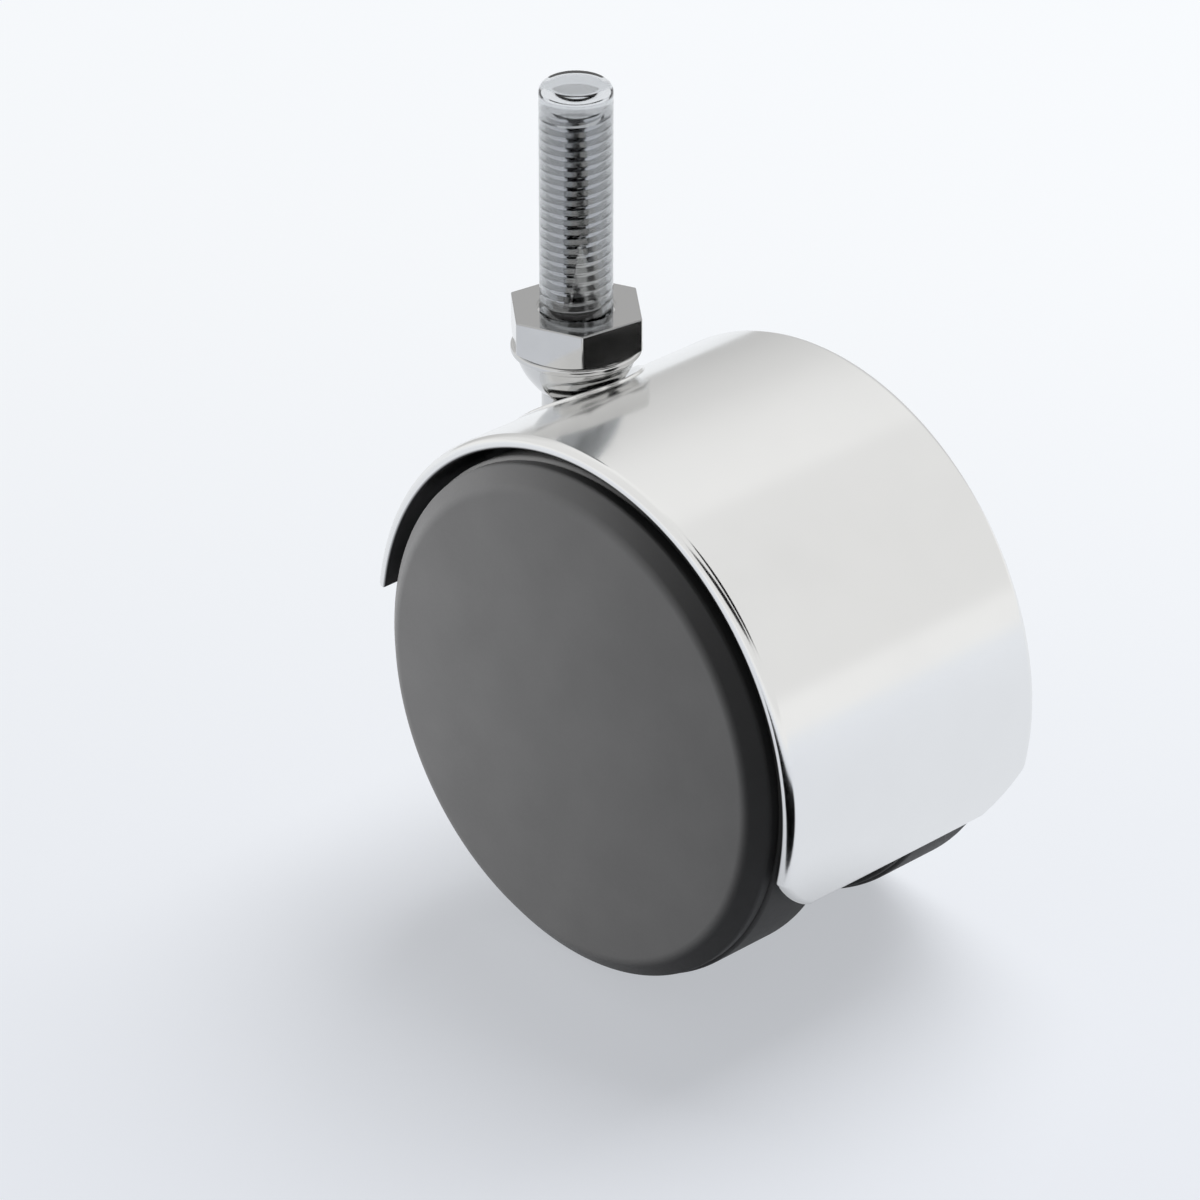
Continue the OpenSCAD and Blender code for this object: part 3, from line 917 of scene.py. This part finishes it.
def wheel_section(sizes):
    """The moulded wheel's section, outwards from the middle of the castor."""
    face = sizes.wheel_inner + sizes.wheel_width
    face_radius = sizes.wheel_flange - sizes.shoulder_reach
    soft = sizes.shoulder_soft
    lip = sizes.shoulder_edge
    slope = sizes.shoulder_slope
    fall = (sizes.shoulder_reach - lip) * math.sin(slope) + lip - soft * (1 - math.cos(slope))
    fall /= math.cos(slope)
    steep = 90 - math.degrees(slope)
    dome = []
    for i in range(25):
        q = i / 24
        dome.append((face_radius * q, face + sizes.face_crown * (1 - q * q)))
    tread_low, tread_high = (corner.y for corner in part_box("right_tread"))
    groove = tread_seat(sizes)
    rim_inner = groove - sizes.rim_wall
    wall = face - sizes.face_wall
    inner = sizes.wheel_inner
    ease = 0.2 * MM
    edge = 0.5 * MM
    corner = 1.5 * MM
    bush_low, bush_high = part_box("right_hub_bush")
    bush = (bush_high.x - bush_low.x) / 2 + SET_GAP
    chamber_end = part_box("axle")[1].y + 0.6 * MM
    chamber = sizes.axle_radius + 0.9 * MM
    section = dome
    section += arc((face_radius, face - soft), soft, 86, steep, 8)
    section += arc((sizes.wheel_flange - lip, face - fall), lip, steep, 0, 8)
    section += arc((sizes.wheel_flange - ease, tread_high + ease), ease, 0, -90, 3)
    section += [(groove, tread_high), (groove, tread_low)]
    section += arc((sizes.wheel_flange - ease, tread_low - ease), ease, 90, 0, 3)
    section += arc((sizes.wheel_flange - edge, inner + edge), edge, 0, -90, 5)
    section += arc((rim_inner + ease, inner + ease), ease, -90, -180, 3)
    section += arc((rim_inner - corner, wall - corner), corner, 0, 90, 6)
    section += arc((sizes.hub_radius + corner, wall - corner), corner, 90, 180, 6)
    section += arc((sizes.hub_radius - ease, inner + ease), ease, 0, -90, 3)
    section += [(bush, inner), (bush, bush_high.y + SET_GAP), (chamber, bush_high.y + SET_GAP),
                (chamber, chamber_end), (0, chamber_end)]
    return section


def wheel_ribs(sizes):
    """The ribs that stiffen the wheel's face, modelled once and copied round the hub."""
    sunk = 0.5 * MM
    start = sizes.hub_radius - sunk
    stop = tread_seat(sizes) - sizes.rim_wall + sunk
    low = sizes.wheel_inner + 2.4 * MM
    high = sizes.wheel_inner + sizes.wheel_width - sizes.face_wall + 0.6 * MM
    fresh()
    bpy.ops.mesh.primitive_cube_add(size=1, location=on_axle((start + stop) / 2, (low + high) / 2),
                                    scale=(stop - start, high - low, sizes.rib_wall))
    ribs = added("ribs")
    settle()
    pick_edges(ribs, lambda co: co.y < low + 0.1 * MM)
    bpy.ops.mesh.bevel(offset=0.35 * MM, segments=3, affect="EDGES")
    edit(ribs)
    step = FULL_TURN / sizes.rib_count
    bpy.ops.transform.rotate(value=step / 2, orient_axis="Y", center_override=AXLE)
    for _ in range(sizes.rib_count - 1):
        bpy.ops.mesh.duplicate()
        bpy.ops.transform.rotate(value=step, orient_axis="Y", center_override=AXLE)
    clean(ribs)
    return ribs


def dress_pair(right, name, node, finish):
    """Dresses a piece of the right wheel and its mirror image on the left wheel."""
    for side, piece in (("right", right), ("left", mirrored(right, f"left_{name}"))):
        dress(piece, f"{side}_wheel", f"{side}_{node}", finish)


class CASTOR_OT_wheels(bpy.types.Operator):
    """Model the two moulded wheels"""

    bl_idname = "castor.wheels"
    bl_label = "Wheels"

    def execute(self, context):
        sizes = context.scene.castor_sizes
        colour = context.scene.castor_finishes.wheel
        right = turned("right_moulding", wheel_section(sizes), on_axle, closed=False, steps=240)
        combine(right, wheel_ribs(sizes), "UNION")
        clean(right)
        finish = moulded_finish("wheel_nylon", colour, 0.58, 2400, 0.02 * MM)
        dress_pair(right, "moulding", "wheel", finish)
        return {"FINISHED"}


class CASTOR_OT_treads(bpy.types.Operator):
    """Model the rolling bands on the wheels"""

    bl_idname = "castor.treads"
    bl_label = "Treads"

    def execute(self, context):
        sizes = context.scene.castor_sizes
        colour = context.scene.castor_finishes.tread
        low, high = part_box("right_tread")
        outer = (high.z - low.z) / 2
        inner = outer - sizes.tread_depth + SET_GAP
        ease = 0.5 * MM
        section = arc((outer - ease, low.y + ease), ease, -90, 0, 6)
        section += arc((outer - ease, high.y - ease), ease, 0, 90, 6)
        section += [(inner, high.y), (inner, low.y)]
        right = turned("right_band", section, on_axle, steps=240)
        finish = moulded_finish("tread_rubber", colour, 0.62, 1800, 0.03 * MM)
        dress_pair(right, "band", "tread", finish)
        return {"FINISHED"}


# The stage

def floor_finish(finishes):
    """A pale floor that grows paler towards the back and loses its shadows far off."""
    finish = Finish("pale_floor")
    reach = finish.from_axis((AXLE.x, 0, 0), (1, 1, 0))
    away = finish.node("ShaderNodeVectorMath", operation="DOT_PRODUCT")
    away.inputs[1].default_value = (-0.72, 0.69, 0)
    finish.link(finish.place, away.inputs[0])
    deep = finish.ranged(away.outputs["Value"], 0, 1, -0.12, 0.16)
    far = finish.ranged(reach, 0, 1, 0.4, 1.6)
    colour = finish.mixed(finish.either(deep, far), finishes.floor, finishes.background)
    lift = finish.ranged(reach, 0.53, 1, 0.06, 0.4)
    finish.feed(finish.mixed(lift, colour, (0, 0, 0)), "Base Color")
    finish.feed(colour, "Emission Color")
    path = finish.node("ShaderNodeLightPath").outputs
    in_pieces = finish.either(path["Is Glossy Ray"], path["Is Transmission Ray"])
    seen = finish.either(path["Is Camera Ray"], in_pieces)
    lifted = finish.node("ShaderNodeMath", operation="MULTIPLY")
    finish.link(lift, lifted.inputs[0])
    finish.link(seen, lifted.inputs[1])
    finish.feed(lifted.outputs["Value"], "Emission Strength")
    finish.set(Specular_IOR_Level=0.0, Roughness=1.0)
    return finish.material


def card_finish():
    """A dead black."""
    finish = Finish("black_card")
    finish.set(Base_Color=(0, 0, 0, 1), Roughness=1.0, Specular_IOR_Level=0.0)
    return finish.material


def card(name, centre, facing, along, size):
    """Sets up an oval black card that is seen only in metal and through clear plastic."""
    facing = Vector(facing).normalized()
    along = Vector(along)
    along = (along - facing * along.dot(facing)).normalized()
    fresh()
    bpy.ops.mesh.primitive_circle_add(vertices=64, radius=0.5, fill_type="NGON")
    sheet = added(name)
    turned_to = Matrix((along, facing.cross(along), facing)).transposed().to_4x4()
    sheet.matrix_world = Matrix.Translation(centre) @ turned_to @ Matrix.Diagonal((*size, 1, 1))
    sheet.data.materials.append(card_finish())
    for ray in ("camera", "diffuse", "shadow", "volume_scatter"):
        setattr(sheet, f"visible_{ray}", False)


def lamp(name, towards, distance, size, watts):
    """A square soft lamp in a direction from the castor, aimed at it and not seen in it."""
    heading = Vector(towards).normalized()
    light = bpy.data.lights.new(name, "AREA")
    light.shape = "SQUARE"
    light.size = size
    light.energy = watts
    holder = bpy.data.objects.new(name, light)
    holder.location = AXLE + heading * distance
    holder.rotation_euler = heading.to_track_quat("Z", "Y").to_euler()
    for ray in ("camera", "glossy", "transmission"):
        setattr(holder, f"visible_{ray}", False)
    bpy.context.collection.objects.link(holder)
    return holder


def leave_unlit(holder, piece):
    """Keeps a lamp's light off one piece."""
    unlit = bpy.data.collections.new(f"unlit_by_{holder.name}")
    unlit.objects.link(piece)
    unlit.collection_objects[0].light_linking.link_state = "EXCLUDE"
    holder.light_linking.receiver_collection = unlit


def surroundings(finishes):
    """Soft light for plastics, a studio for metal and a pale background for the camera."""
    world = bpy.data.worlds.new("studio")
    bpy.context.scene.world = world
    nodes = Nodes(world)
    heading = nodes.node("ShaderNodeSeparateXYZ")
    nodes.link(nodes.node("ShaderNodeTexCoord").outputs["Generated"], heading.inputs["Vector"])
    height = heading.outputs["Z"]
    dim = nodes.ramp(height, ((0, 0.56), (0.24, 0.66), (0.48, 0.76), (0.67, 0.90), (0.80, 0.96)))
    bright = nodes.ramp(height, ((0, 0.97), (0.14, 0.97), (0.20, 0.86), (1, 0.88)))
    right = nodes.ranged(heading.outputs["X"], 0, 1, -0.05, 0.03)
    front = nodes.ranged(heading.outputs["Y"], 1, 0, -0.2, 0.1)
    studio = nodes.mixed(nodes.either(right, front), dim, bright)
    path = nodes.node("ShaderNodeLightPath").outputs
    straight = nodes.either(path["Is Camera Ray"], path["Is Transmission Ray"])
    sky = nodes.node("ShaderNodeBackground")
    nodes.link(nodes.mixed(straight, studio, finishes.background), sky.inputs["Color"])
    seen = nodes.either(straight, path["Is Glossy Ray"])
    nodes.link(nodes.ranged(seen, SOFT_LIGHT, 1, 0, 1), sky.inputs["Strength"])
    output = nodes.node("ShaderNodeOutputWorld")
    nodes.link(sky.outputs["Background"], output.inputs["Surface"])


class CASTOR_OT_stage(bpy.types.Operator):
    """Set up the floor, the lamps, the black cards and the camera"""

    bl_idname = "castor.stage"
    bl_label = "Stage"

    def execute(self, context):
        finishes = context.scene.castor_finishes
        fresh()
        bpy.ops.mesh.primitive_circle_add(vertices=96, radius=4, fill_type="NGON", location=(0, 0, FLOOR_Z))
        floor = added("floor")
        settle()
        floor.data.materials.append(floor_finish(finishes))
        surroundings(finishes)
        key = lamp("key", (-0.95, -0.72, 0.12), distance=0.27, size=0.12, watts=1.3)
        leave_unlit(key, floor)
        lamp("top", (-0.15, 0.55, 0.85), distance=1.0, size=0.8, watts=11)
        strip = Vector((0.53, 0.28, 0.80))
        card("dark_strip", AXLE + strip * 1.5, facing=strip, along=(0.843, 0, -0.538), size=(1.1, 0.75))
        front = Vector((0.634, -0.606, 0))
        on_floor = front * 0.185 + Vector((0, 0, FLOOR_Z + 0.3 * MM))
        card("dark_front", on_floor, facing=(0, 0, 1), along=front, size=(0.16, 0.24))
        over_camera = AXLE + Vector((0.806, -0.767, 1.3))
        card("dark_back", over_camera, facing=front, along=(0.7, 0.72, 0), size=(1.7, 1.0))
        self.camera(context)
        context.scene.view_settings.view_transform = "Standard"
        return {"FINISHED"}

    def camera(self, context):
        """Places the camera where the photograph was taken from."""
        azimuth = math.radians(46.27)
        elevation = math.radians(28.73)
        distance = 0.753
        right = Vector((math.cos(azimuth), math.sin(azimuth), 0))
        back = Vector((math.sin(azimuth) * math.cos(elevation), -math.cos(azimuth) * math.cos(elevation),
                       math.sin(elevation)))
        up = back.cross(right)
        aim = AXLE - right * 12.06 * MM + up * 7.59 * MM
        lens = bpy.data.cameras.new("camera")
        lens.sensor_width = 36
        lens.lens = 188.94
        lens.clip_start = 0.01
        holder = bpy.data.objects.new("camera", lens)
        holder.location = aim + back * distance
        holder.rotation_euler = back.to_track_quat("Z", "Y").to_euler()
        context.collection.objects.link(holder)
        context.scene.camera = holder


class CASTOR_PT_panel(bpy.types.Panel):
    """Lists the steps that build the castor"""

    bl_idname = "CASTOR_PT_panel"
    bl_label = "Castor"
    bl_space_type = "VIEW_3D"
    bl_region_type = "UI"
    bl_category = "Castor"

    def draw(self, context):
        for step in STEPS:
            self.layout.operator(step.bl_idname)


STEPS = (
    CASTOR_OT_hood,
    CASTOR_OT_stem,
    CASTOR_OT_cap,
    CASTOR_OT_bearing,
    CASTOR_OT_axle,
    CASTOR_OT_wheels,
    CASTOR_OT_treads,
    CASTOR_OT_stage,
)
CLASSES = (CastorSizes, CastorFinishes) + STEPS + (CASTOR_PT_panel,)


def register():
    for cls in CLASSES:
        bpy.utils.register_class(cls)
    bpy.types.Scene.castor_sizes = PointerProperty(type=CastorSizes)
    bpy.types.Scene.castor_finishes = PointerProperty(type=CastorFinishes)


def unregister():
    del bpy.types.Scene.castor_finishes
    del bpy.types.Scene.castor_sizes
    for cls in reversed(CLASSES):
        bpy.utils.unregister_class(cls)


def main():
    register()
    for step in STEPS:
        run = getattr(bpy.ops.castor, step.bl_idname.split(".")[1])
        run()


if __name__ == "__main__":
    main()
